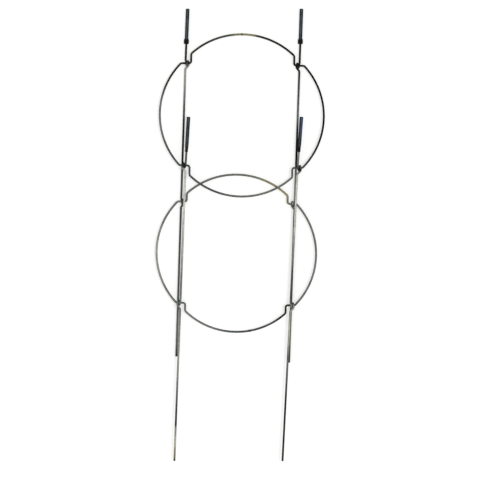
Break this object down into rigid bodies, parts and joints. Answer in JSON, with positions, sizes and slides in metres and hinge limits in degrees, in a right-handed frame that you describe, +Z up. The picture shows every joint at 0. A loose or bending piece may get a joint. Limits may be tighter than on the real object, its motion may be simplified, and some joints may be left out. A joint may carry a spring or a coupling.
{
  "type": "tomato cage",
  "caption": "Round stackable garden cage of bent steel rod: legs with coil-eye hinges and crimped sockets, joined by wire rings, folded flat.",
  "frame": {"origin": "on the ground, under the middle of the box round the cage lying folded flat", "axes": "+X across the cage, +Y along the legs towards their sockets, +Z up from the ground"},
  "size_m": [0.5168, 1.426, 0.0333],
  "materials": {
    "galvanised_wire": "galvanised, weathered",
    "blackened_steel": "blackened"
  },
  "bodies": {
    "rear_left": {"rear_leg_left": "galvanised_wire", "rear_socket_left": "blackened_steel"},
    "rear_right": {"rear_leg_right": "galvanised_wire", "rear_socket_right": "blackened_steel"},
    "front_left": {"front_leg_left": "galvanised_wire", "front_socket_left": "blackened_steel"},
    "front_right": {"front_leg_right": "galvanised_wire", "front_socket_right": "blackened_steel"},
    "upper_ring": {"upper_ring": "galvanised_wire"},
    "lower_ring": {"lower_ring": "galvanised_wire"}
  },
  "joints": [
    {"name": "upper_ring_fold", "type": "hinge", "parent": "rear_left", "child": "upper_ring", "pos_m": [0.00229, 0.53748, 0.0122], "axis": [-1, 0, 0], "range_deg": [0, 88.79]},
    {"name": "lower_ring_fold", "type": "hinge", "parent": "rear_left", "child": "lower_ring", "pos_m": [-0.00804, 0.10568, 0.0122], "axis": [-1, 0, 0], "range_deg": [0, 88.79]},
    {"name": "rear_right_fold", "type": "hinge", "parent": "upper_ring", "child": "rear_right", "pos_m": [0.00229, 0.53748, 0.0122], "axis": [-1, 0, 0], "range_deg": [-88.79, 0]},
    {"name": "front_left_fold", "type": "hinge", "parent": "upper_ring", "child": "front_left", "pos_m": [0.00229, 0.22005, 0.0189], "axis": [-1, 0, 0], "range_deg": [-88.79, 0]},
    {"name": "front_right_fold", "type": "hinge", "parent": "upper_ring", "child": "front_right", "pos_m": [0.00229, 0.22005, 0.0189], "axis": [-1, 0, 0], "range_deg": [-88.79, 0]}
  ],
  "couplings": [
    {"joint": "lower_ring_fold", "follows": "upper_ring_fold", "ratio": 1},
    {"joint": "rear_right_fold", "follows": "upper_ring_fold", "ratio": -1},
    {"joint": "front_left_fold", "follows": "upper_ring_fold", "ratio": -1},
    {"joint": "front_right_fold", "follows": "upper_ring_fold", "ratio": -1}
  ]
}
